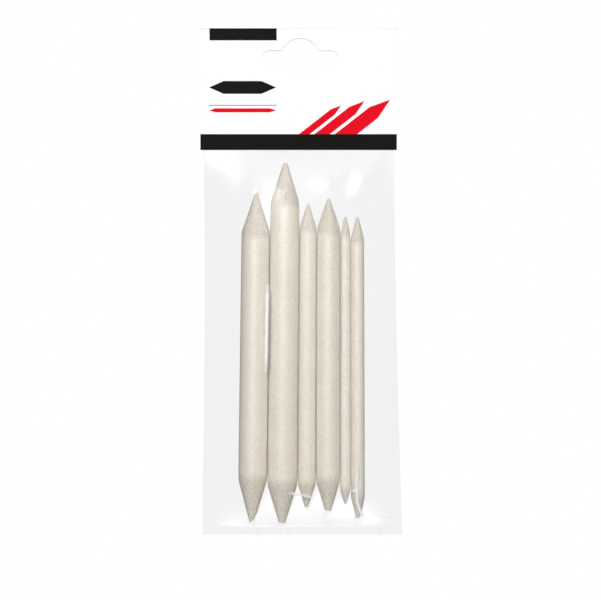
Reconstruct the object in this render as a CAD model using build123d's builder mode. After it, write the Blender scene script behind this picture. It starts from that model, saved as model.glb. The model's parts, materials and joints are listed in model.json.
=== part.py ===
"""A hang pack of rolled-paper blending stumps: header card, clear film bag and six stumps.

The origin is the centre of the hang slot. +Z is up along the pack, +X is to the right seen
from the front, and the front faces -Y. The bag, the stumps and the slot share the plane y = 0.
Sizes are in millimetres.
"""

from build123d import *

import os
from math import cos, pi, radians, sin, tan
from typing import NamedTuple

# Header card: one board folded over the mouth of the bag, as two leaves on a crease.
HEADER_WIDTH = 82.4
HEADER_HEIGHT = 51.1
HEADER_MIDDLE_X = -0.7  # the slot is punched a little off the middle of the card
FOLD_ABOVE_SLOT = 12.5
CARD_THICKNESS = 0.4
CREASE_RADIUS = 0.2
FOLD_ROUNDING = 0.9  # radius of the folded edge, as a share of the card's thickness

# Hang slot through both leaves: a bar with a round lobe in its middle.
SLOT_WIDTH = 32.2
SLOT_HEIGHT = 6.1
SLOT_LOBE_RADIUS = 8.25

# Glue strips between the film and each leaf.
GLUE_THICKNESS = 0.1
GLUE_HEIGHT = 8.0
GLUE_SIDE_MARGIN = 6.0
GLUE_ABOVE_CARD_EDGE = 2.0

# Film bag: a lay-flat tube, welded along the bottom. Its length and width follow the stumps.
FILM_THICKNESS = 0.1
FILM_EDGE = 0.3  # width of the closed fold at either side
MOUTH_GAP = 0.06
MOUTH_INSIDE_HEADER = 12.6
SEAL_HEIGHT = 4.0
ROOM_ABOVE_SEAL = 1.0  # under the lowest stump
LEFT_SLACK_AT_MOUTH = 15.95  # from the row of stumps to the side of the bag
LEFT_SLACK_AT_BOTTOM = 16.65
RIGHT_SLACK_AT_MOUTH = 12.75
RIGHT_SLACK_AT_BOTTOM = 16.15
UPPER_TAPER = 18.0  # length over which the bag opens out below the header
LOWER_TAPER = 8.0  # length over which it closes in above the weld
TAPER_STEPS = 4
FILM_CLEARANCE = 0.35  # between the film and the stumps it runs over

# Row of stumps.
ROW_LEFT_X = -24.45
ROW_GAP = 0.2
ROW_LEVEL_BELOW_HEADER = 18.4  # where neighbours come closest
SHOULDER_ROUNDING = 0.55  # radius where a cone meets the body, as a share of the diameter
TIP_ROUNDING = 0.6  # radius of a tip's rim, as a share of the tip's radius


class Stump(NamedTuple):
    """One double-ended stump, with its upper tip below_header lower than the card's edge.

    Lean is the angle by which the upper end tilts towards +X.
    """

    name: str
    diameter: float
    length: float
    below_header: float
    upper_cone: float
    lower_cone: float
    upper_tip_radius: float
    lower_tip_radius: float
    lean: float


# From left to right.
STUMPS = [
    Stump("stump_size_5", 11.9, 138.8, 17.7, 16.6, 17.9, 0.45, 0.95, 0.75),
    Stump("stump_size_6", 12.0, 151.4, 5.3, 16.2, 15.9, 0.85, 1.3, 0.57),
    Stump("stump_size_3", 7.0, 127.9, 22.3, 10.2, 9.6, 0.4, 0.65, 0.3),
    Stump("stump_size_4", 9.7, 131.4, 20.2, 12.8, 12.3, 0.5, 1.15, 0.1),
    Stump("stump_size_1", 4.0, 120.8, 27.9, 6.9, 5.4, 0.5, 0.3, 0.03),
    Stump("stump_size_2", 5.6, 126.5, 28.1, 9.4, 9.0, 0.45, 0.8, -0.15),
]

# Heights that follow from the sizes above.
FOLD_Z = FOLD_ABOVE_SLOT
CREASE_Z = FOLD_Z - CREASE_RADIUS
CARD_EDGE_Z = FOLD_Z - HEADER_HEIGHT
MOUTH_Z = CARD_EDGE_Z + MOUTH_INSIDE_HEADER
LOWEST_TIP_Z = CARD_EDGE_Z - max(
    stump.below_header + stump.length * cos(radians(stump.lean)) for stump in STUMPS
)
SEAL_TOP_Z = LOWEST_TIP_Z - ROOM_ABOVE_SEAL
BAG_BOTTOM_Z = SEAL_TOP_Z - SEAL_HEIGHT
ROW_LEVEL_Z = CARD_EDGE_Z - ROW_LEVEL_BELOW_HEADER

# Sides of the bag, from the row of stumps.
ROW_RIGHT_X = (
    ROW_LEFT_X + sum(stump.diameter for stump in STUMPS) + ROW_GAP * (len(STUMPS) - 1)
)
MOUTH_LEFT_X = ROW_LEFT_X - LEFT_SLACK_AT_MOUTH
BOTTOM_LEFT_X = ROW_LEFT_X - LEFT_SLACK_AT_BOTTOM
MOUTH_RIGHT_X = ROW_RIGHT_X + RIGHT_SLACK_AT_MOUTH
BOTTOM_RIGHT_X = ROW_RIGHT_X + RIGHT_SLACK_AT_BOTTOM

# Layers out from the middle plane, inside the header.
FILM_INNER_Y = MOUTH_GAP / 2
FILM_OUTER_Y = FILM_INNER_Y + FILM_THICKNESS
LEAF_INNER_Y = FILM_OUTER_Y + GLUE_THICKNESS

# The bag's half depth over the stumps, to the outside of the film.
FILM_AROUND = FILM_CLEARANCE + FILM_THICKNESS
FULL_DEPTH = max(stump.diameter for stump in STUMPS) / 2 + FILM_AROUND

FRONT = -1
BACK = 1


def axis_x(index, z=ROW_LEVEL_Z):
    """The x of a stump's axis at height z."""
    x = ROW_LEFT_X + STUMPS[0].diameter / 2
    for left, right in zip(STUMPS[:index], STUMPS[1 : index + 1]):
        x += left.diameter / 2 + ROW_GAP + right.diameter / 2
    return x + (z - ROW_LEVEL_Z) * tan(radians(STUMPS[index].lean))


def layer(side, inner_y):
    """A sketch plane facing out of the pack on one side, inner_y away from the middle plane.

    Its own x runs to the right seen from the front on either side, and its y runs along Z.
    """
    return Plane(origin=(0, side * inner_y, 0), x_dir=(1, 0, 0), z_dir=(0, FRONT, 0))


def make_leaf(side):
    """One leaf of the header card, with its hang slot and a rounded outer edge at the fold.

    The back leaf carries the crease, a thin bead that the front leaf turns about.
    """
    with BuildPart() as leaf:
        with BuildSketch(layer(side, LEAF_INNER_Y)):
            with Locations((HEADER_MIDDLE_X, CARD_EDGE_Z)):
                Rectangle(HEADER_WIDTH, CREASE_Z - CARD_EDGE_Z, align=(Align.CENTER, Align.MIN))
            SlotOverall(SLOT_WIDTH, SLOT_HEIGHT, mode=Mode.SUBTRACT)
            Circle(SLOT_LOBE_RADIUS, mode=Mode.SUBTRACT)
        extrude(amount=side * FRONT * CARD_THICKNESS)
        outer_face = leaf.faces().filter_by(Axis.Y).sort_by(Axis.Y)[-1 if side == BACK else 0]
        fold_edge = outer_face.edges().filter_by(Axis.X).sort_by(Axis.Z)[-1]
        fillet(fold_edge, FOLD_ROUNDING * CARD_THICKNESS)
        if side == BACK:
            bead_end = HEADER_MIDDLE_X - HEADER_WIDTH / 2
            with BuildSketch(Plane.YZ.offset(bead_end)):
                with Locations((0, CREASE_Z)):
                    Circle(CREASE_RADIUS)
                    Rectangle(
                        LEAF_INNER_Y,
                        CREASE_RADIUS,
                        align=(Align.MIN, Align.MAX),
                    )
            extrude(amount=HEADER_WIDTH)
    return leaf


def make_glue_strip(side):
    """A strip of glue across the header, between the film and one leaf."""
    with BuildPart() as strip:
        with BuildSketch(layer(side, FILM_OUTER_Y)):
            with Locations((HEADER_MIDDLE_X, CARD_EDGE_Z + GLUE_ABOVE_CARD_EDGE)):
                Rectangle(
                    HEADER_WIDTH - 2 * GLUE_SIDE_MARGIN,
                    GLUE_HEIGHT,
                    align=(Align.CENTER, Align.MIN),
                )
        extrude(amount=side * FRONT * GLUE_THICKNESS)
    return strip


def taper(end_z, length, direction, inset):
    """Points of the bag's side view from flat to full, as a quarter of an ellipse.

    The film leaves the flat at end_z, and direction is the way along Z to where it is full.
    """
    flat = FILM_OUTER_Y - inset
    full = FULL_DEPTH - inset
    angles = [pi / 2 * step / TAPER_STEPS for step in range(TAPER_STEPS + 1)]
    return [
        (
            flat + (full - flat) * sin(angle),
            end_z + direction * (inset + (length - inset) * (1 - cos(angle))),
        )
        for angle in angles
    ]


def bag_side_view(top_z, bottom_z, inset):
    """Half of the bag's outline seen from the side, as points of y and z, from the top down."""
    opening = taper(CARD_EDGE_Z, UPPER_TAPER, -1, inset)
    closing = taper(SEAL_TOP_Z, LOWER_TAPER, 1, inset)
    flat = FILM_OUTER_Y - inset
    return [(flat, top_z), *opening, *reversed(closing), (flat, bottom_z)]


def bag_section(inset):
    """Half of the bag's section seen from above, as points of x and y, from left to right.

    The film runs over the two thick stumps on the left and down over the thinner ones on the
    right, alike at the front and at the back.
    """
    edge = FILM_EDGE if inset else 0
    depths = [
        (axis_x(0) - STUMPS[0].diameter / 4, FULL_DEPTH),
        (axis_x(1) + STUMPS[1].diameter / 4, FULL_DEPTH),
        (axis_x(3) + STUMPS[3].diameter / 4, STUMPS[3].diameter / 2 + FILM_AROUND),
    ]
    left = min(MOUTH_LEFT_X, BOTTOM_LEFT_X) + edge
    right = max(MOUTH_RIGHT_X, BOTTOM_RIGHT_X) - edge
    return [(left, 0), *[(x, y - inset) for x, y in depths], (right, 0)]


def bag_front_view(top_z, bottom_z, inset):
    """The bag's outline seen from the front, a little wider at the bottom."""
    edge = FILM_EDGE if inset else 0
    slope_left = (BOTTOM_LEFT_X - MOUTH_LEFT_X) / (BAG_BOTTOM_Z - MOUTH_Z)
    slope_right = (BOTTOM_RIGHT_X - MOUTH_RIGHT_X) / (BAG_BOTTOM_Z - MOUTH_Z)
    left = [(MOUTH_LEFT_X + edge + slope_left * (z - MOUTH_Z), z) for z in (top_z, bottom_z)]
    right = [(MOUTH_RIGHT_X - edge + slope_right * (z - MOUTH_Z), z) for z in (bottom_z, top_z)]
    return left + right


def make_bag_body(top_z, bottom_z, inset):
    """The space inside one surface of the film: where the bag's three views meet."""
    with BuildPart() as body:
        with BuildSketch(Plane.YZ):
            side = bag_side_view(top_z, bottom_z, inset)
            Polygon(*side, *[(-y, z) for y, z in reversed(side)], align=None)
        extrude(amount=HEADER_WIDTH, both=True)
        with BuildSketch(Plane.XY.offset(bottom_z)):
            section = bag_section(inset)
            Polygon(*section, *[(x, -y) for x, y in reversed(section[1:-1])], align=None)
        extrude(amount=top_z - bottom_z, mode=Mode.INTERSECT)
        with BuildSketch(Plane.XZ):
            Polygon(*bag_front_view(top_z, bottom_z, inset), align=None)
        extrude(amount=FULL_DEPTH, both=True, mode=Mode.INTERSECT)
    return body


def make_film_bag():
    """The bag: a tube of film, open at its mouth, with a flat weld along the bottom."""
    outside = make_bag_body(MOUTH_Z, BAG_BOTTOM_Z, 0)
    inside = make_bag_body(MOUTH_Z + FULL_DEPTH, SEAL_TOP_Z, FILM_THICKNESS)
    with BuildPart() as bag:
        add(outside)
        add(inside, mode=Mode.SUBTRACT)
    return bag


def make_stump(index):
    """A revolved outline: lower tip, cone, straight body, cone and upper tip."""
    stump = STUMPS[index]
    radius = stump.diameter / 2
    lean = radians(stump.lean)
    up = Vector(sin(lean), 0, cos(lean))
    out = Vector(cos(lean), 0, -sin(lean))
    upper_tip_z = CARD_EDGE_Z - stump.below_header
    upper_tip = Vector(axis_x(index, upper_tip_z), 0, upper_tip_z)
    lower_tip = upper_tip - up * stump.length
    with BuildPart() as body:
        with BuildSketch(Plane(origin=lower_tip, x_dir=out, z_dir=(0, FRONT, 0))) as outline:
            with BuildLine():
                Polyline(
                    (0, 0),
                    (stump.lower_tip_radius, 0),
                    (radius, stump.lower_cone),
                    (radius, stump.length - stump.upper_cone),
                    (stump.upper_tip_radius, stump.length),
                    (0, stump.length),
                    close=True,
                )
            make_face()
            fillet(outline.vertices().group_by(Axis.X)[-1], SHOULDER_ROUNDING * stump.diameter)
            lower_rim = outline.vertices().group_by(Axis.Y)[0].sort_by(Axis.X)[-1]
            fillet(lower_rim, TIP_ROUNDING * stump.lower_tip_radius)
            upper_rim = outline.vertices().group_by(Axis.Y)[-1].sort_by(Axis.X)[-1]
            fillet(upper_rim, TIP_ROUNDING * stump.upper_tip_radius)
        revolve(axis=Axis(lower_tip, up))
    return body


os.makedirs("parts", exist_ok=True)

header_back_leaf = make_leaf(BACK)
header_back_leaf.part.label = "header_back_leaf"
export_step(header_back_leaf.part, "parts/header_back_leaf.step")

header_front_leaf = make_leaf(FRONT)
header_front_leaf.part.label = "header_front_leaf"
export_step(header_front_leaf.part, "parts/header_front_leaf.step")

glue_strip_back = make_glue_strip(BACK)
glue_strip_back.part.label = "glue_strip_back"
export_step(glue_strip_back.part, "parts/glue_strip_back.step")

glue_strip_front = make_glue_strip(FRONT)
glue_strip_front.part.label = "glue_strip_front"
export_step(glue_strip_front.part, "parts/glue_strip_front.step")

film_bag = make_film_bag()
film_bag.part.label = "film_bag"
export_step(film_bag.part, "parts/film_bag.step")

for index, stump in enumerate(STUMPS):
    body = make_stump(index)
    body.part.label = stump.name
    export_step(body.part, f"parts/{stump.name}.step")
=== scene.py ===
import json
from math import asin, cos, degrees, pi, radians, sin

import bmesh
import bpy
import numpy as np
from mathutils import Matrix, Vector, noise


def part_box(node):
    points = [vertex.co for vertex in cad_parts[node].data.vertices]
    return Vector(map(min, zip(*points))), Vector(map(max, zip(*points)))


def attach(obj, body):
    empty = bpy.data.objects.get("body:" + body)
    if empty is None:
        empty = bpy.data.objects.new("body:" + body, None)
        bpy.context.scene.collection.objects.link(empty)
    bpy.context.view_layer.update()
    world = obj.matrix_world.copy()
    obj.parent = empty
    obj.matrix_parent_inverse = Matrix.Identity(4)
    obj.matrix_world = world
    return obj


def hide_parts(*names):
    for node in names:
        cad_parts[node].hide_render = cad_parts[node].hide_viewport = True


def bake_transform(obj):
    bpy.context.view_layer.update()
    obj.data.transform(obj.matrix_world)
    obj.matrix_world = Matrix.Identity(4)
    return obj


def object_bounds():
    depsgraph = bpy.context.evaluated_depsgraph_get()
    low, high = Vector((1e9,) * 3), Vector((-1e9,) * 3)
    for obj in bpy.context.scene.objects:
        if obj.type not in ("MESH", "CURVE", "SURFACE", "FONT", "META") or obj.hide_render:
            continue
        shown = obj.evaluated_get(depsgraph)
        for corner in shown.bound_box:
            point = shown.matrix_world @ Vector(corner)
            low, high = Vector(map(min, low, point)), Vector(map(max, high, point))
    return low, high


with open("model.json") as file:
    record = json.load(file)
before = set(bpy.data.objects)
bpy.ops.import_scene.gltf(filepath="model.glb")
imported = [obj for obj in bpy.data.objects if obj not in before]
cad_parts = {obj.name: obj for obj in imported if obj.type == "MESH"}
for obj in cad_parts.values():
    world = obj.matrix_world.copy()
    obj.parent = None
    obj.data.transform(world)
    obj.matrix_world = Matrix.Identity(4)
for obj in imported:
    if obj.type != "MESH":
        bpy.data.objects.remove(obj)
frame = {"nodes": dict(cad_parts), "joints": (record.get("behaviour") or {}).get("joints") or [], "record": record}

CAD_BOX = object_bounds()
MM = 0.001

# Film of the bag.
FILM_THICKNESS = 0.05 * MM
FILM_IN_HEADER = 0.08 * MM  # half the gap between the two sheets
FILM_IN_WELD = 0.03 * MM
WELD_HEIGHT = 4.0 * MM
WELD_EDGE = 0.6 * MM  # over which the haze of the weld ends
HELD_BELOW_CARD = 0.35 * MM  # the film lies flat down to here
FILM_CLEARANCE = 0.22 * MM
END_CLEARANCE = 0.4 * MM  # past the ends of each stump's travel
FILM_SLACK = 0.28 * MM  # how far the free film wanders
SLACK_FROM = 2.0 * MM  # the film's height from which it wanders in full
FOLD_FROM = 2.5 * MM  # the same for its soft folds
CREASE_RISE = 0.15 * MM
CREASE_REACH = 1.1  # half the width of a crease's foot, in millimetres

# How the film is found: a taut sheet, on grids from coarse to fine.
COARSEST = 8  # the grids have a multiple of this many cells
FRONT_COLUMNS = 23 * COARSEST + 1
BACK_COLUMNS = 11 * COARSEST + 1
FILM_ROWS = 47 * COARSEST + 1
RELAXING = 400  # rounds on each grid
AIR = 9.0  # curvature that the air in the bag gives a free stretch of film, per metre
SOFTENING = 40  # rounds of smoothing
FOLD_SOFTENING = 16  # the same, once the soft folds are in

# The bag's sides: how far each leans in at the top, and how far it is drawn in at its middle.
LEFT_LEAN, LEFT_WAIST = 0.6 * MM, 0.6 * MM
RIGHT_LEAN, RIGHT_WAIST = 3.7 * MM, 0.64 * MM

# Stumps.
SIDE_GAP = 0.06 * MM  # left between neighbours where the soft paper bulges towards them
WRAP = 0.10 * MM  # the step at the end of the rolled paper
RELIEF = 0.012 * MM  # height of the lumps in the paper
FACETS = 0.12 * MM  # how uneven the sanding is
SHOULDER = 0.6 * MM  # the cone's fine rows and its sanding reach this far over the body
SHOULDER_WEAR = 0.7 * MM  # reach of the rounding where a cone meets the body
CUT_REACH = 2.5 * MM, 4.5 * MM  # a flat cut tip carries on the cone between these distances
SLANT_REACH = 1.2 * MM, 4.0 * MM  # length of a slanting cut: level, and more with its slant
SANDED_PAST = 0.8 * MM  # where the sanding starts to fade, before the shoulder
FADE = 3.2 * MM
THICK_PAPER = 2.0 * MM  # thinner stumps than this have a lower step and smaller facets
THINNEST = 0.02 * MM
FINE_ROW, COARSE_ROW = 0.35 * MM, 1.0 * MM
# Painted shade: the paper is darkened this close to the side that faces a neighbouring stump.
GAP_SHADE_FROM, GAP_SHADE_FADE = 0.955, 0.035  # as cosines of the angle from the side

# Header card.
CARD_CELL = 3.0 * MM
BAND_HEIGHT = 6.6 * MM
CORNER_LIFT, CORNER_REACH = 0.45 * MM, 16 * MM
FOLD_STEPS = 14


# ---------------------------------------------------------------- small helpers


def smooth(t):
    """Ease from 0 to 1 as t goes from 0 to 1."""
    t = np.clip(t, 0.0, 1.0)
    return t * t * (3 - 2 * t)


def place(name, data):
    """An object in the scene with a mesh, a light or a camera."""
    piece = bpy.data.objects.new(name, data)
    bpy.context.collection.objects.link(piece)
    return piece


def new_object(name, vertices, faces):
    """A smooth-shaded object from points and faces."""
    mesh = bpy.data.meshes.new(name)
    mesh.from_pydata([tuple(v) for v in vertices], [], [tuple(f) for f in faces])
    mesh.update()
    mesh.shade_smooth()
    return place(name, mesh)


def tube_faces(rings, around, inside_out=False):
    """Quads between the rings of a tube, with as many points in each ring."""
    faces = []
    for ring in range(rings - 1):
        for k in range(around):
            a, b = ring * around + k, ring * around + (k + 1) % around
            if inside_out:
                faces.append((a, a + around, b + around, b))
            else:
                faces.append((a, b, b + around, a + around))
    return faces


def store(piece, **values):
    """Keep numbers on a piece's points, for its material."""
    for name, numbers in values.items():
        attribute = piece.data.attributes.new(name, "FLOAT", "POINT")
        attribute.data.foreach_set("value", np.asarray(numbers, np.float32).ravel())


def noise_field(points, scale, seed):
    """Fractal noise from about -1 to 1 at each point."""
    shift = Vector((seed * 13.7, seed * 7.1, seed * 3.3))
    return np.array([noise.fractal(Vector(p) * scale + shift, 1.0, 2.0, 3) for p in points])


# ---------------------------------------------------------------- node tools


class Nodes:
    """A material under construction, with short calls for the nodes it needs."""

    def __init__(self, name):
        self.material = bpy.data.materials.new(name)
        self.material.use_nodes = True
        self.tree = self.material.node_tree
        self.tree.nodes.clear()
        self.output = self.add("ShaderNodeOutputMaterial")

    def add(self, kind, **settings):
        node = self.tree.nodes.new(kind)
        for key, value in settings.items():
            setattr(node, key, value)
        return node

    def put(self, value, socket):
        """Link an output to a socket, or set the socket's own value."""
        if isinstance(value, bpy.types.NodeSocket):
            self.tree.links.new(value, socket)
        else:
            socket.default_value = value

    def math(self, operation, a, b, c=None, clamp=False):
        node = self.add("ShaderNodeMath", operation=operation, use_clamp=clamp)
        self.put(a, node.inputs[0])
        self.put(b, node.inputs[1])
        if c is not None:
            node.inputs[2].default_value = c
        return node.outputs[0]

    def stored(self, name):
        """A number that store() kept."""
        return self.add("ShaderNodeAttribute", attribute_name=name).outputs["Fac"]

    def stretched(self, stretch):
        """Object coordinates, stretched."""
        coordinates = self.add("ShaderNodeTexCoord").outputs["Object"]
        mapping = self.add("ShaderNodeMapping")
        mapping.inputs["Scale"].default_value = stretch
        self.put(coordinates, mapping.inputs["Vector"])
        return mapping.outputs[0]

    def noise(self, scale, detail, rough, stretch=(1, 1, 1)):
        node = self.add("ShaderNodeTexNoise")
        self.put(self.stretched(stretch), node.inputs["Vector"])
        node.inputs["Scale"].default_value = scale
        node.inputs["Detail"].default_value = detail
        node.inputs["Roughness"].default_value = rough
        return node.outputs["Fac"]

    def ramp(self, value, low, high, to_low=0.0, to_high=1.0):
        """A value's place between low and high, from to_low to to_high."""
        node = self.add("ShaderNodeMapRange")
        self.put(value, node.inputs["Value"])
        ends = {"From Min": low, "From Max": high, "To Min": to_low, "To Max": to_high}
        for key, number in ends.items():
            node.inputs[key].default_value = number
        return node.outputs["Result"]

    def mix(self, share, a, b):
        """A colour between a and b."""
        node = self.add("ShaderNodeMix", data_type="RGBA")
        self.put(share, node.inputs["Factor"])
        self.put(a, node.inputs[6])
        self.put(b, node.inputs[7])
        return node.outputs[2]

    def tint(self, tone, where, strength, tinted):
        """A colour drawn towards another where a value is high."""
        return self.mix(self.math("MULTIPLY", where, strength), tone, tinted)

    def blend(self, share, a, b):
        """A surface between a and b."""
        node = self.add("ShaderNodeMixShader")
        for value, socket in zip((share, a, b), node.inputs):
            self.put(value, socket)
        return node.outputs[0]

    def bump(self, height, distance, strength):
        node = self.add("ShaderNodeBump")
        self.put(height, node.inputs["Height"])
        node.inputs["Distance"].default_value = distance
        node.inputs["Strength"].default_value = strength
        return node.outputs["Normal"]

    def surface(self, kind, **inputs):
        """A shader node's output, with its inputs set by name."""
        node = self.add(kind)
        for key, value in inputs.items():
            self.put(value, node.inputs[key.replace("_", " ")])
        return node.outputs[0]

    def finish(self, shader):
        self.put(shader, self.output.inputs["Surface"])
        return self.material


def colour(red, green, blue):
    """Scene colour of an 8-bit display colour."""
    shares = [c / 255 for c in (red, green, blue)]
    linear = [((c + 0.055) / 1.055) ** 2.4 if c > 0.04045 else c / 12.92 for c in shares]
    return (*linear, 1.0)


# ---------------------------------------------------------------- materials


def paper_material():
    """Rolled soft paper: warm grey felt with a fine grain and dark specks.

    It is fuzzy where it is sanded, and has a painted brown shade where two stumps touch, in place of the shade in
    the gap between them.
    """
    n = Nodes("stump_paper")
    sanded = n.stored("sanded")
    # painted shade in the gaps where neighbouring stumps touch
    rubbed = n.stored("rubbed")
    clouds = n.noise(220, 3.0, 0.6, stretch=(1, 1, 0.5))
    felt = n.noise(1750, 3.0, 0.65, stretch=(1, 1, 0.8))
    grain = n.noise(4200, 2.0, 0.6)
    specks = n.ramp(n.noise(1900, 1.0, 0.3), 0.69, 0.72)
    tone = n.mix(n.ramp(felt, 0.38, 0.62), colour(226, 217, 199), colour(244, 237, 221))
    tone = n.tint(tone, n.ramp(clouds, 0.4, 0.7), 0.3, colour(220, 206, 181))
    tone = n.tint(tone, n.ramp(grain, 0.45, 0.65), 0.4, colour(251, 247, 238))
    fuzz = n.mix(n.ramp(felt, 0.36, 0.64), colour(186, 177, 158), colour(226, 219, 204))
    tone = n.tint(tone, sanded, 0.65, fuzz)
    tone = n.tint(tone, specks, 0.4, colour(130, 116, 100))
    # painted shade: dark brown along the sides that touch a neighbour
    tone = n.tint(tone, rubbed, 0.9, colour(104, 92, 77))
    height = n.math("ADD", n.math("MULTIPLY", felt, 0.65), n.math("MULTIPLY", grain, 0.35))
    shader = n.surface(
        "ShaderNodeBsdfPrincipled",
        Base_Color=tone,
        Roughness=n.ramp(sanded, 0, 1, 0.56, 0.85),
        Normal=n.bump(height, 0.12 * MM, 0.45),
        IOR=1.8,
        Specular_IOR_Level=1.0,
    )
    return n.finish(shader)


def card_material(name, base, gloss):
    """Coated board: faintly mottled, with a fine tooth."""
    n = Nodes(name)
    mottle = n.noise(420, 3.0, 0.6)
    tooth = n.noise(9000, 2.0, 0.6)
    darker = tuple(0.985 * c for c in base[:3]) + (1.0,)
    shader = n.surface(
        "ShaderNodeBsdfPrincipled",
        Base_Color=n.mix(n.ramp(mottle, 0.35, 0.7), base, darker),
        Roughness=n.ramp(tooth, 0.3, 0.7, gloss - 0.05, gloss + 0.05),
        Normal=n.bump(tooth, 0.01 * MM, 0.4),
        Specular_IOR_Level=0.06,
    )
    return n.finish(shader)


def film_material():
    """Thin clear film: it mirrors a little, more at a slant, and is slightly milky."""
    n = Nodes("clear_film")
    facing = n.add("ShaderNodeLayerWeight")
    facing.inputs["Blend"].default_value = 0.5
    slant = n.math("POWER", facing.outputs["Facing"], 4.0)
    mirror = n.math("MULTIPLY_ADD", slant, 0.12, 0.014)
    ripple = n.bump(n.noise(900, 2.0, 0.5), 0.01 * MM, 0.5)
    gloss = n.surface("ShaderNodeBsdfGlossy", Roughness=0.26, Normal=ripple)
    clear = n.surface("ShaderNodeBsdfTransparent", Color=(0.982, 0.981, 0.984, 1))
    milk = n.surface("ShaderNodeBsdfDiffuse", Color=(0.9, 0.9, 0.9, 1))
    crease = n.stored("crease")
    weld = n.stored("weld")
    blotch = n.ramp(n.noise(500, 3.0, 0.6, stretch=(0.5, 1, 1)), 0.4, 0.75)
    haze = n.math("MULTIPLY_ADD", n.math("MULTIPLY", weld, blotch), 0.03, 0.012)
    # white along the creases: whitened film, and in one place a painted reflection
    haze = n.math("ADD", haze, n.math("MULTIPLY", crease, 0.75), clamp=True)
    return n.finish(n.blend(mirror, n.blend(haze, clear, milk), gloss))


def glue_material():
    """Dried glue: cloudy and a little uneven."""
    n = Nodes("glue")
    cloud = n.noise(260, 4.0, 0.6)
    shader = n.surface(
        "ShaderNodeBsdfPrincipled",
        Base_Color=n.mix(n.ramp(cloud, 0.3, 0.7), colour(233, 229, 216), colour(224, 217, 199)),
        Roughness=n.ramp(cloud, 0.3, 0.7, 0.35, 0.55),
        Normal=n.bump(cloud, 0.05 * MM, 0.6),
    )
    return n.finish(shader)


WHITE_CARD = card_material("card_white", colour(244, 244, 245), 0.6)
BLACK_INK = card_material("ink_black", colour(14, 11, 10), 0.55)
RED_INK = card_material("ink_red", colour(224, 0, 28), 0.55)
GREY_INK = card_material("ink_grey", colour(96, 98, 96), 0.55)
PAPER = paper_material()
FILM = film_material()
GLUE = glue_material()


# ---------------------------------------------------------------- stumps


def read_stump(joint):
    """A stump's lower tip, direction, profile and travel, from its CAD node and its slide."""
    node = frame["nodes"][joint["child"]]
    points = np.array([v.co for v in node.data.vertices])
    up = np.array(joint["axis"], float)
    up /= np.linalg.norm(up)
    along = points @ up
    tip = points[along - along.min() < 0.01 * MM].mean(axis=0)
    s = along - along.min()
    r = np.linalg.norm((points - tip) - np.outer(s, up), axis=1)
    steps = np.unique(np.round(s, 6))
    radius = np.array([r[np.abs(s - step) < 0.002 * MM].max() for step in steps])
    return {
        "name": joint["child"],
        "tip": tip,
        "up": up,
        "s": steps,
        "r": radius,
        "length": steps[-1],
        "body": radius.max(),
        "travel": joint["range_m"],
    }


STUMPS = sorted(
    (read_stump(j) for j in frame["joints"] if j["type"] == "slide"),
    key=lambda stump: stump["tip"][0],
)

# What tells the stumps apart: the slant of the lower and the upper tip, where the seam is, in
# degrees from the right hand side over the front, and whether the lower tip is cut off flat.
CHARACTER = {
    "stump_size_5": (0.75, 0.0, 80, True),
    "stump_size_6": (-0.1, 0.15, 165, True),
    "stump_size_3": (0.35, 0.1, 20, True),
    "stump_size_4": (-0.12, 0.2, 150, True),
    "stump_size_1": (0.2, -0.1, 30, False),
    "stump_size_2": (0.3, 0.0, 62, True),
}


def radius_at(stump, s):
    """A stump's radius at s from its lower tip: shoulders worn round, the lower tip cut flat."""
    around = [s + k * SHOULDER_WEAR for k in (-1, -0.5, 0, 0.5, 1)]
    near = [np.interp(spot, stump["s"], stump["r"]) for spot in around]
    radius = min(sum(near) / len(near), np.interp(s, stump["s"], stump["r"]))
    low, high = CUT_REACH
    at_low, at_high = np.interp((low, high), stump["s"], stump["r"])
    cone = at_low + (s - low) * (at_high - at_low) / (high - low)
    flat_cut = CHARACTER[stump["name"]][3]
    return cone if s < low and flat_cut else radius


def worn_profile(stump):
    """A stump's profile as it is drawn: distances from the lower tip, and radii."""
    s = np.linspace(0, stump["length"], 500)
    return s, np.array([radius_at(stump, k) for k in s])


def axis_x(stump, z):
    """The x of a stump's axis at height z."""
    tip, up = stump["tip"], stump["up"]
    return tip[0] + (z - tip[2]) * up[0] / up[2]


def neighbour(stump, side):
    """The next stump to the right (1) or to the left (-1), or None at the end of the row."""
    index = STUMPS.index(stump) + side
    return STUMPS[index] if 0 <= index < len(STUMPS) else None


def bulge(stump, z, side):
    """How far a stump's soft body stands out towards its neighbour on one side at height z.

    They clear each other anywhere along their travel.
    """
    other = neighbour(stump, side)
    if other is None:
        return 0.0
    middles = [abs(axis_x(other, z + k) - axis_x(stump, z + k)) for k in stump["travel"]]
    apart = min(middles) - other["body"] - stump["body"]
    return max(0.0, (apart - SIDE_GAP) / 2)


def slanted_cut(stump, s):
    """How the slant of the cut tips moves a ring at s along the stump, as shares of its radius:
    by how much more from side to side, and how far inwards in all, so that nothing gets longer.
    """
    low_slant, top_slant = CHARACTER[stump["name"]][:2]
    level, with_slant = SLANT_REACH
    across, along = 0.0, 0.0
    for slant, from_tip, inwards in ((low_slant, s, 1), (top_slant, stump["length"] - s, -1)):
        reach = level + with_slant * abs(slant)
        share = float(slant * smooth(1 - from_tip / reach))
        across += share
        along += inwards * abs(share)
    return across, along


def cone_lengths(stump):
    """How long the lower and the upper cone are, with their shoulders."""
    full = stump["s"][stump["r"] > stump["body"] * 0.999]
    return full.min() + SHOULDER, stump["length"] - full.max() + SHOULDER


def stump_rows(stump, low_cone, top_cone):
    """Distances from the lower tip to each ring of points: close on the cones, wide between."""
    top = stump["length"] - top_cone
    return np.concatenate(
        [
            np.linspace(0, low_cone, int(low_cone / FINE_ROW)),
            np.linspace(low_cone, top, int((top - low_cone) / COARSE_ROW))[1:-1],
            np.linspace(top, stump["length"], int(top_cone / FINE_ROW)),
        ]
    )


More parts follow.
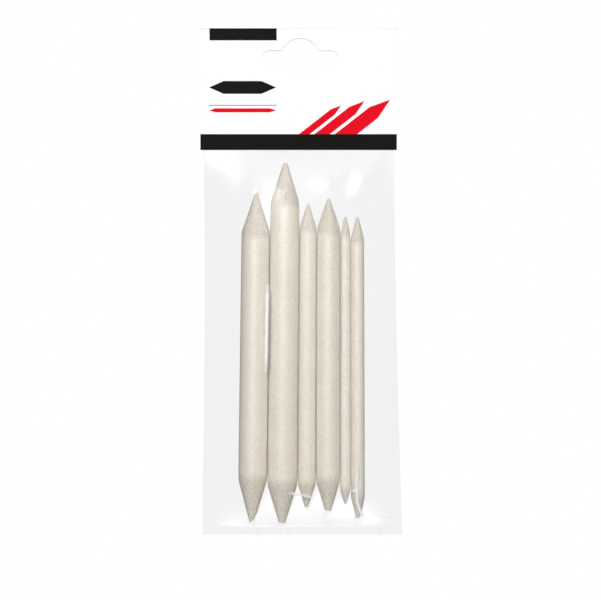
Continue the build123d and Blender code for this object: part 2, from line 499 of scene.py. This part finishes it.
def ring_swell(stump, z, base, wrap):
    """How much a ring widens to the right and to the left: its bulge, and what the spiral of the
    paper and the lumps take off there.
    """
    seam = CHARACTER[stump["name"]][2]
    swell = []
    for side, angle in ((1, 0), (-1, 180)):
        lost = wrap * ((angle - seam) % 360) / 360 + RELIEF
        swell.append((bulge(stump, z, side) + lost) * base / stump["body"])
    return swell


def stump_ring(stump, seed, s, worn, around):
    """One ring of a stump's points, and how much painted shade each point gets where it faces a neighbour."""
    up, front = Vector(stump["up"]), Vector((0, -1, 0))
    right = up.cross(front)
    right = (right if right.x > 0 else -right).normalized()
    tip, seam = Vector(stump["tip"]), radians(CHARACTER[stump["name"]][2])
    base = radius_at(stump, s)
    thick = min(1, base / THICK_PAPER)
    wrap = WRAP * thick * (1 - 0.6 * worn)
    swell = ring_swell(stump, stump["tip"][2] + s * stump["up"][2], base, wrap)
    beside = [neighbour(stump, side) is not None for side in (1, -1)]
    across, along = slanted_cut(stump, s)
    points, rubbed = [], []
    for turn in np.linspace(0.001, 0.999, around):
        a = seam + 2 * pi * turn
        half = 0 if cos(a) > 0 else 1
        spot = Vector((cos(a) * 2.2, sin(a) * 2.2, s * 140)) + Vector((seed * 9.1, 0, 0))
        lumps = noise.fractal(spot, 1.0, 2.0, 3)
        facets = noise.noise(Vector((cos(a) * 1.4, sin(a) * 1.4, s * 60 + seed * 5)))
        r = base - wrap * turn + RELIEF * (lumps - 1)
        r += worn * thick * FACETS * (facets - 0.6)
        r = max(r, THINNEST) + swell[half] * cos(a) ** 2
        reach = r * (across * cos(a) + along)
        points.append(tip + up * (s + reach) + right * (r * cos(a)) + front * (r * sin(a)))
        # painted shade on the sides that face a neighbour, fading out over the sanded ends
        contact = float(smooth((abs(cos(a)) - GAP_SHADE_FROM) / GAP_SHADE_FADE))
        rubbed.append(contact * beside[half] * (1 - worn))
    return points, rubbed


def make_stump(stump, seed):
    """A rolled-paper stump: a spiral wall with a seam, sanded ends and cut tips."""
    low_cone, top_cone = cone_lengths(stump)
    around = 60 if stump["body"] < 3 * MM else 96
    rows = stump_rows(stump, low_cone, top_cone)
    vertices, sanded, rubbed = [], [], []
    for s in rows:
        past = min(s - low_cone, stump["length"] - top_cone - s) + SANDED_PAST
        worn = float(1 - smooth(past / FADE))
        points, contact = stump_ring(stump, seed, s, worn, around)
        vertices += points
        sanded += [worn] * around
        rubbed += contact
    faces = tube_faces(len(rows), around)
    faces.append(tuple(reversed(range(around))))
    faces.append(tuple(range((len(rows) - 1) * around, len(rows) * around)))
    piece = new_object(stump["name"] + "_paper", vertices, faces)
    piece.data.set_sharp_from_angle(angle=radians(50))
    # sanded is the paper's own sanding; the other number is painted shade next to neighbours
    store(piece, sanded=sanded, rubbed=rubbed)
    piece.data.materials.append(PAPER)
    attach(piece, stump["name"])
    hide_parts(stump["name"])


# ---------------------------------------------------------------- film bag

BAG_LOW, BAG_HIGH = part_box("film_bag")
CARD_LOW, CARD_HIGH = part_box("header_front_leaf")
CARD_EDGE_Z = CARD_LOW[2]
WELD_TOP_Z = BAG_LOW[2] + WELD_HEIGHT

# Soft folds of the front sheet: path, height and width in millimetres.
SOFT_FOLDS = [
    ([(38.5, -38), (33.5, -43), (30, -48), (27, -53), (24.5, -58), (22, -65)], 1.3, 4.5),
    ([(21, -39.5), (18.5, -45), (16.5, -51)], 0.45, 2.4),
    ([(-24.5, -168), (-27.5, -177), (-33, -186), (-39.5, -194)], 0.9, 3.0),
    ([(38.5, -165), (37, -178), (38, -188), (41, -195)], 0.2, 2.5),
    ([(-12.4, -92), (-12.7, -112), (-13.0, -136)], 0.5, 1.3),
]
# Sharp creases, where the film has gone white, and one painted reflection: path, how white and how wide in
# millimetres.
CREASES_AND_REFLECTIONS = [
    ([(-4.4, -182.2), (0, -183), (5.0, -184.0)], 1.3, 0.6),
    ([(24.2, -171), (23.5, -178), (23.8, -186), (25.2, -190.5), (26.6, -192.2)], 1.6, 0.8),
    ([(22.4, -181.7), (24.2, -181.0)], 1.8, 0.9),
    ([(27.5, -189), (33, -192), (40, -193.2)], 0.25, 0.6),
    # painted reflection: a white streak where the film mirrors a light along the right side of the leftmost stump
    ([(-13.7, -95.5), (-14.0, -112), (-14.4, -131)], 1.8, 0.9),
]


def swept_height(stump, x, z):
    """How far a stump stands out from the middle plane anywhere along its travel."""
    tip, up = stump["tip"], stump["up"]
    along = (x - tip[0]) * up[0] + (z - tip[2]) * up[2]
    across = (x - tip[0]) * up[2] - (z - tip[2]) * up[0]
    low, high = stump["travel"][0] - END_CLEARANCE, stump["travel"][1] + END_CLEARANCE
    middle = stump["length"] / 2
    lower_half = np.minimum(along - low, middle)
    upper_half = np.maximum(along - high, middle)
    s = np.where(along < middle, lower_half, upper_half)
    radius = np.interp(s, *worn_profile(stump), left=-1, right=-1)
    reach = radius + FILM_CLEARANCE
    inside = (radius >= 0) & (np.abs(across) < reach)
    return np.where(inside, np.sqrt(np.maximum(reach**2 - across**2, 0)), 0)


def bag_sides(z):
    """The x of the bag's two sides at height z."""
    t = (BAG_HIGH[2] - z) / (BAG_HIGH[2] - BAG_LOW[2])
    left = BAG_LOW[0] + LEFT_LEAN * (1 - t) + LEFT_WAIST * np.sin(pi * t)
    right = BAG_HIGH[0] - RIGHT_LEAN * (1 - t) - RIGHT_WAIST * 4 * t * (1 - t)
    return left, right


def relaxed(height, floor, fixed, stretch, lift):
    """A sheet drawn taut: each point goes to the mean of its neighbours, lifted, over the floor."""
    held = height[fixed]
    weight = 2 * (1 + stretch)
    for _ in range(RELAXING):
        across = np.roll(height, 1, 1) + np.roll(height, -1, 1)
        along = np.roll(height, 1, 0) + np.roll(height, -1, 0)
        height = np.maximum((across + stretch * along) / weight + lift, floor)
        height[fixed] = held
    return height


def finer(height):
    """The same surface with a point between each two."""
    rows, columns = height.shape
    out = np.zeros((2 * rows - 1, 2 * columns - 1))
    out[::2, ::2] = height
    out[1::2, ::2] = (height[1:] + height[:-1]) / 2
    out[:, 1::2] = (out[:, :-1:2] + out[:, 2::2]) / 2
    return out


def softened(height, floor, fixed, rounds):
    """Round off the peaks that narrow tips raise, as a sheet with some stiffness does."""
    held = height[fixed]
    for _ in range(rounds):
        for axis in (0, 1):
            height = (np.roll(height, 1, axis) + 2 * height + np.roll(height, -1, axis)) / 4
        height[fixed] = held
    return np.maximum(height, floor)


def film_height(x, z):
    """A sheet of the bag over the stumps: its heights, the lowest they may be, and where it is
    held, in the header, in the weld and at the sides.
    """
    in_header = z > CARD_EDGE_Z - HELD_BELOW_CARD
    in_weld = z < WELD_TOP_Z
    fixed = in_header | in_weld
    fixed[:, 0] = fixed[:, -1] = True
    held = np.where(in_header, FILM_IN_HEADER, np.where(in_weld, FILM_IN_WELD, 0))
    held[:, 0] = held[:, -1] = 0
    floor = np.max([swept_height(stump, x, z) for stump in STUMPS], axis=0)
    floor = np.where(fixed, 0, floor)
    cell = (x[:, 1:] - x[:, :-1]).mean()
    stretch = (cell / (z[:-1] - z[1:]).mean()) ** 2
    height, step = None, COARSEST
    while step:
        grid = (slice(None, None, step), slice(None, None, step))
        start = floor[grid] if height is None else finer(height)
        start = np.where(fixed[grid], held[grid], start)
        lift = AIR * (cell * step) ** 2 / (2 * (1 + stretch))
        height = relaxed(start, floor[grid], fixed[grid], stretch, lift)
        step //= 2
    return softened(height, floor, fixed, SOFTENING), floor, fixed


def distance_to_path(x, z, path):
    """Distance of each grid point to a polyline in x and z, and the share along it."""
    best = np.full(x.shape, np.inf)
    share = np.zeros(x.shape)
    count = len(path) - 1
    for k in range(count):
        (ax, az), (bx, bz) = path[k], path[k + 1]
        dx, dz = bx - ax, bz - az
        t = np.clip(((x - ax) * dx + (z - az) * dz) / (dx * dx + dz * dz), 0, 1)
        d = np.hypot(x - ax - t * dx, z - az - t * dz)
        nearer = d < best
        best = np.where(nearer, d, best)
        share = np.where(nearer, (k + t) / count, share)
    return best, share


def faded_ends(t, ends):
    """A path's strength at the share t along it: 1, but 0 at both ends."""
    return smooth(t * ends) * smooth((1 - t) * ends)


def folded(height, floor, fixed, x, z):
    """The front sheet with its soft folds."""
    for path, rise, width in SOFT_FOLDS:
        d, t = distance_to_path(x / MM, z / MM, path)
        free = smooth(height / FOLD_FROM)
        height = height + rise * MM * np.exp(-((d / width) ** 2)) * faded_ends(t, 4) * free
    return softened(height, floor, fixed, FOLD_SOFTENING)


def creased(height, x, z):
    """The front sheet with its sharp creases, and how white it is at each point: whitened creases, and in one
    place a painted reflection.
    """
    white = np.zeros(x.shape)
    for path, amount, width in CREASES_AND_REFLECTIONS:
        d, t = distance_to_path(x / MM, z / MM, path)
        ends = faded_ends(t, 6)
        height = height + CREASE_RISE * np.maximum(0, 1 - d / CREASE_REACH) * ends
        line = amount * np.maximum(0, 1 - d / width) * (0.3 + 0.7 * ends)
        white = np.maximum(white, line)
    return height, white


def film_sheet(side, count):
    """The front (-1) or back (1) sheet as grids of x, y and z, how white, and the weld."""
    rows = np.linspace(BAG_HIGH[2], BAG_LOW[2], FILM_ROWS)
    left, right = bag_sides(rows)
    x = left[:, None] + np.linspace(0, 1, count)[None, :] * (right - left)[:, None]
    z = np.repeat(rows[:, None], count, axis=1)
    height, floor, fixed = film_height(x, z)
    points = np.stack([x.ravel(), np.full(x.size, side * 0.5), z.ravel()], axis=1)
    slack = noise_field(points * (1, 1, 0.6), 42, 3 + side).reshape(x.shape)
    height = height + FILM_SLACK * np.abs(slack) * smooth(height / SLACK_FROM)
    white = np.zeros(x.shape)
    if side == -1:
        height = folded(height, floor, fixed, x, z)
        height, white = creased(height, x, z)
    height = np.where(fixed, height, np.maximum(height, floor))
    weld = smooth((WELD_TOP_Z + WELD_EDGE - z) / WELD_EDGE)
    return x, side * height, z, white, weld


def make_film():
    """The bag as one tube: a front and a back sheet that meet at the sides and at the weld."""
    sheets = zip(film_sheet(-1, FRONT_COLUMNS), film_sheet(1, BACK_COLUMNS))
    joined = [np.concatenate([front, back[:, -2:0:-1]], axis=1) for front, back in sheets]
    x, y, z, white, weld = joined
    vertices = np.stack([x.ravel(), y.ravel(), z.ravel()], axis=1)
    faces = tube_faces(FILM_ROWS, x.shape[1], inside_out=True)
    film = new_object("film_bag_clear", vertices, faces)
    film.data.set_sharp_from_angle(angle=radians(70))
    # crease whiteness, partly a painted reflection, and the weld's haze
    store(film, crease=white, weld=weld)
    film.data.materials.append(FILM)
    solid = film.modifiers.new("thickness", "SOLIDIFY")
    solid.thickness = FILM_THICKNESS
    solid.offset = 1
    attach(film, "pack")
    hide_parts("film_bag")


# ---------------------------------------------------------------- header card

LEAF_OUTER_Y = -CARD_LOW[1]
LEAF_INNER_Y = -CARD_HIGH[1]
CREASE_Z = CAD_BOX[1][2] - LEAF_OUTER_Y
CELLS_ACROSS = int((CARD_HIGH[0] - CARD_LOW[0]) / CARD_CELL)
CELLS_UP = int((CREASE_Z - CARD_EDGE_Z) / CARD_CELL)
LOBE = next(m for m in frame["record"]["mounts"] if m["name"] == "hang_lobe")["dims"]["r_mm"] * MM
SLOT_HALF_WIDTH, SLOT_HALF_HEIGHT = 16.1 * MM, 3.05 * MM
CARD_INKS = [WHITE_CARD, BLACK_INK, RED_INK, GREY_INK]
WHITE, BLACK, RED, GREY = range(4)
BAND_TOP_Z = CARD_EDGE_Z + BAND_HEIGHT
BLOCK_LEFT, BLOCK_RIGHT, BLOCK_Z = -38.1 * MM, -9.9 * MM, 7.35 * MM


def rectangle(x0, x1, z0, z1):
    """A rectangle as an outline in x and z."""
    return [(x0, z0), (x1, z0), (x1, z1), (x0, z1)]


def stick(middle, length, width, point, angle=0.0, above=None):
    """A double-pointed stick as a convex outline, cut off level where it goes below above."""
    a, b, c = length / 2, length / 2 - point, width / 2
    outline = [(-a, 0), (-b, -c), (b, -c), (a, 0), (b, c), (-b, c)]
    turn = radians(angle)
    outline = [
        (middle[0] + x * cos(turn) - z * sin(turn), middle[1] + x * sin(turn) + z * cos(turn))
        for x, z in outline
    ]
    if above is None:
        return outline
    kept = []
    for (ax, az), (bx, bz) in zip(outline, outline[1:] + outline[:1]):
        if az >= above:
            kept.append((ax, az))
        if (az - above) * (bz - above) < 0:
            t = (above - az) / (bz - az)
            kept.append((ax + t * (bx - ax), above))
    return kept


# Both leaves have the band and the block, and the front has a generic picture of the sticks.
PLAIN_PRINT = [
    (rectangle(CARD_LOW[0], CARD_HIGH[0], CARD_EDGE_Z, BAND_TOP_Z), BLACK),
    (rectangle(BLOCK_LEFT, BLOCK_RIGHT, BLOCK_Z, CREASE_Z), BLACK),
]
PICTURE = [
    (rectangle(-38.4 * MM, -9.9 * MM, -20.05 * MM, -19.75 * MM), GREY),
    (stick((-24.2 * MM, -12.4 * MM), 28.2 * MM, 5.4 * MM, 6.2 * MM), BLACK),
    (stick((-24.2 * MM, -22.0 * MM), 28.2 * MM, 1.7 * MM, 2.6 * MM), RED),
    (stick((3 * MM, -31 * MM), 36 * MM, 2.8 * MM, 4.5 * MM, 38, BAND_TOP_Z), RED),
    (stick((10.5 * MM, -31 * MM), 42 * MM, 4.0 * MM, 6.5 * MM, 38, BAND_TOP_Z), RED),
    (stick((20.5 * MM, -31 * MM), 44 * MM, 5.8 * MM, 9.0 * MM, 38, BAND_TOP_Z), RED),
]


def arc(centre_x, radius, start, end, count):
    """Points along an arc about a point at height 0, from one angle to another in degrees."""
    turns = [radians(start + (end - start) * k / count) for k in range(count + 1)]
    return [(centre_x + radius * cos(a), radius * sin(a)) for a in turns]


def slot_outline():
    """The hang slot: a bar with round ends and a round lobe in its middle."""
    w, h = SLOT_HALF_WIDTH - SLOT_HALF_HEIGHT, SLOT_HALF_HEIGHT
    meet = degrees(asin(h / LOBE))
    return (
        arc(w, h, -90, 90, 16)
        + arc(0, LOBE, meet, 180 - meet, 36)
        + arc(-w, h, 90, 270, 16)
        + arc(0, LOBE, 180 + meet, 360 - meet, 36)
    )


def add_loop(bm, outline):
    """A closed loop of edges from points in x and z."""
    corners = [bm.verts.new((x, 0, z)) for x, z in outline]
    return [bm.edges.new((a, b)) for a, b in zip(corners, corners[1:] + corners[:1])]


def cut(bm, faces, point, normal):
    """Split faces along a plane."""
    geometry = set(faces)
    for face in faces:
        geometry.update(face.edges, face.verts)
    bmesh.ops.bisect_plane(bm, geom=list(geometry), plane_co=point, plane_no=normal, dist=1e-7)


def faces_near(bm, outline):
    """The faces that meet the box round an outline."""
    (low_x, low_z), (high_x, high_z) = map(min, zip(*outline)), map(max, zip(*outline))
    near = []
    for face in bm.faces:
        xs, zs = [v.co.x for v in face.verts], [v.co.z for v in face.verts]
        if max(xs) > low_x and min(xs) < high_x and max(zs) > low_z and min(zs) < high_z:
            near.append(face)
    return near


def print_shape(bm, outline, ink):
    """Cut the sheet along a convex outline and give what is inside it an ink."""
    sides = list(zip(outline, outline[1:] + outline[:1]))
    for (ax, az), (bx, bz) in sides:
        cut(bm, faces_near(bm, outline), (ax, 0, az), (bz - az, 0, ax - bx))
    for face in bm.faces:
        c = face.calc_center_median()
        turns = [(bx - ax) * (c.z - az) - (bz - az) * (c.x - ax) for (ax, az), (bx, bz) in sides]
        if min(turns) > 0:
            face.material_index = ink


def cut_card(prints):
    """A flat leaf with the hang slot, in cells so that it can curl, and with its inks."""
    bm = bmesh.new()
    edges = add_loop(bm, rectangle(CARD_LOW[0], CARD_HIGH[0], CARD_EDGE_Z, CREASE_Z))
    edges += add_loop(bm, slot_outline())
    bmesh.ops.triangle_fill(bm, edges=edges, use_beauty=True)
    for k in range(1, CELLS_ACROSS + 1):
        cut(bm, bm.faces[:], (CARD_LOW[0] + k * CARD_CELL, 0, 0), (1, 0, 0))
    for k in range(1, CELLS_UP + 1):
        cut(bm, bm.faces[:], (0, 0, CARD_EDGE_Z + k * CARD_CELL), (0, 0, 1))
    for outline, ink in prints:
        print_shape(bm, outline, ink)
    return bm


def corner_lift(x, z):
    """How far the card stands out at a point: its two free corners lift."""
    half = (CARD_HIGH[0] - CARD_LOW[0]) / 2
    middle = (CARD_HIGH[0] + CARD_LOW[0]) / 2
    low = smooth((CARD_EDGE_Z + CORNER_REACH - z) / CORNER_REACH)
    outer = smooth((abs(x - middle) - 0.5 * half) / (0.5 * half))
    return CORNER_LIFT * low * outer


def make_leaf(name, side, prints, body, node):
    """One leaf of the card: a board with the slot, printed outside, its free corners lifting."""
    bm = cut_card(prints)
    outer = bm.faces[:]
    for face in outer:
        if face.normal.y * side < 0:
            face.normal_flip()
    made = bmesh.ops.extrude_face_region(bm, geom=outer, use_keep_orig=True)["geom"]
    inner = {item for item in made if isinstance(item, bmesh.types.BMVert)}
    for face in bm.faces:
        if face not in outer:
            face.material_index = WHITE
    for v in bm.verts:
        out = LEAF_INNER_Y if v in inner else LEAF_OUTER_Y
        v.co.y = side * (out + corner_lift(v.co.x, v.co.z))
    bmesh.ops.recalc_face_normals(bm, faces=bm.faces[:])
    mesh = bpy.data.meshes.new(name)
    bm.to_mesh(mesh)
    bm.free()
    leaf = place(name, mesh)
    for ink in CARD_INKS:
        mesh.materials.append(ink)
    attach(leaf, body)
    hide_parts(node)


def make_fold():
    """The folded top of the card, a half tube."""
    xs = {CARD_LOW[0], CARD_HIGH[0], BLOCK_LEFT, BLOCK_RIGHT}
    xs |= {CARD_LOW[0] + k * CARD_CELL for k in range(1, CELLS_ACROSS + 1)}
    xs = sorted(xs)
    turns = [pi * k / FOLD_STEPS for k in range(FOLD_STEPS + 1)]
    section = [(LEAF_OUTER_Y, a) for a in turns]
    section += [(LEAF_INNER_Y, a) for a in reversed(turns)]
    vertices = [(x, -r * cos(a), CREASE_Z + r * sin(a)) for x in xs for r, a in section]
    ring = len(section)
    faces = tube_faces(len(xs), ring)
    faces.append(tuple(reversed(range(ring))))
    faces.append(tuple(range((len(xs) - 1) * ring, len(xs) * ring)))
    inks = []
    for x0, x1 in zip(xs, xs[1:]):
        outside = BLACK if BLOCK_LEFT < (x0 + x1) / 2 < BLOCK_RIGHT else WHITE
        inks += [outside] * FOLD_STEPS + [WHITE] * (ring - FOLD_STEPS)
    fold = new_object("header_fold", vertices, faces)
    for ink in CARD_INKS:
        fold.data.materials.append(ink)
    for polygon, ink in zip(fold.data.polygons, inks + [WHITE, WHITE]):
        polygon.material_index = ink
    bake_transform(fold)


make_leaf("header_front_board", -1, PLAIN_PRINT + PICTURE, "header_front", "header_front_leaf")
make_leaf("header_back_board", 1, PLAIN_PRINT, "pack", "header_back_leaf")
make_fold()
for name in ("glue_strip_front", "glue_strip_back"):
    materials = frame["nodes"][name].data.materials
    materials.clear()
    materials.append(GLUE)

for seed, stump in enumerate(STUMPS):
    make_stump(stump, seed)
make_film()


# ---------------------------------------------------------------- camera, light, backdrop

FRAME_WIDTH = 252.4 * MM
LENS = 120.0
SENSOR = 36.0
VIEW_CENTRE = Vector((0.0001, 0, -0.1016))
LIGHT_DISTANCE = 1.1
STUDIO_FLOOR_Z = BAG_LOW[2] - 60 * MM
STUDIO_RADIUS, STUDIO_BEND, STUDIO_TOP_Z = 2.4, 0.9, 3.2
STUDIO_SIDES, BEND_STEPS = 72, 12

camera_data = bpy.data.cameras.new("camera")
camera_data.lens = LENS
camera_data.sensor_width = SENSOR
camera = place("camera", camera_data)
camera.location = VIEW_CENTRE - Vector((0, FRAME_WIDTH * LENS / SENSOR, 0))
camera.rotation_euler = (pi / 2, 0, 0)
bpy.context.scene.camera = camera


def add_softbox(name, direction, size, power):
    """A soft area light that looks at the middle of the pack."""
    data = bpy.data.lights.new(name, "AREA")
    data.shape = "RECTANGLE"
    data.size, data.size_y = size
    data.energy = power
    light = place(name, data)
    light.location = VIEW_CENTRE + Vector(direction).normalized() * LIGHT_DISTANCE
    light.rotation_euler = (VIEW_CENTRE - light.location).to_track_quat("-Z", "Y").to_euler()


add_softbox("key", (-0.18, -1, 0.38), (0.36, 0.36), 8.4)
add_softbox("top", (0.16, -1, 0.85), (0.75, 0.5), 3.0)
add_softbox("low", (0.0, -1, -1.6), (1.2, 0.8), 2.6)
add_softbox("side", (1.0, -0.55, 0.15), (0.15, 0.8), 0.7)
add_softbox("rear", (0.35, 1, 0.45), (0.8, 0.8), 12.0)


def backdrop_material():
    """Plain white that glows as an evenly lit sweep does."""
    n = Nodes("backdrop")
    return n.finish(n.surface("ShaderNodeEmission", Color=(1, 1, 1, 1), Strength=1.0))


def studio_profile():
    """The studio from its middle outwards: a floor, a round bend and a wall."""
    flat = STUDIO_RADIUS - STUDIO_BEND
    profile = [(0.02, STUDIO_FLOOR_Z), (flat, STUDIO_FLOOR_Z)]
    for step in range(1, BEND_STEPS + 1):
        a = pi / 2 * step / BEND_STEPS
        rise = STUDIO_BEND * (1 - cos(a))
        profile.append((flat + STUDIO_BEND * sin(a), STUDIO_FLOOR_Z + rise))
    return profile + [(STUDIO_RADIUS, STUDIO_TOP_Z)]


def make_backdrop():
    """A round white studio: a floor that sweeps up into a wall on every side."""
    profile = studio_profile()
    count = len(profile)
    vertices, faces = [], []
    for k in range(STUDIO_SIDES):
        a = 2 * pi * k / STUDIO_SIDES
        vertices += [(r * cos(a), r * sin(a), z) for r, z in profile]
        first, second = k * count, (k + 1) % STUDIO_SIDES * count
        for j in range(count - 1):
            faces.append((first + j, second + j, second + j + 1, first + j + 1))
    faces.append(tuple(k * count for k in reversed(range(STUDIO_SIDES))))
    studio = new_object("backdrop", vertices, faces)
    studio.data.materials.append(backdrop_material())
    studio.visible_diffuse = False
    studio.visible_glossy = False
    studio.visible_shadow = False


make_backdrop()

world = bpy.data.worlds.new("studio")
world.use_nodes = True
background = world.node_tree.nodes["Background"]
background.inputs["Color"].default_value = (1.0, 0.995, 0.99, 1)
background.inputs["Strength"].default_value = 0.15
bpy.context.scene.world = world
bpy.context.scene.view_settings.view_transform = "Standard"
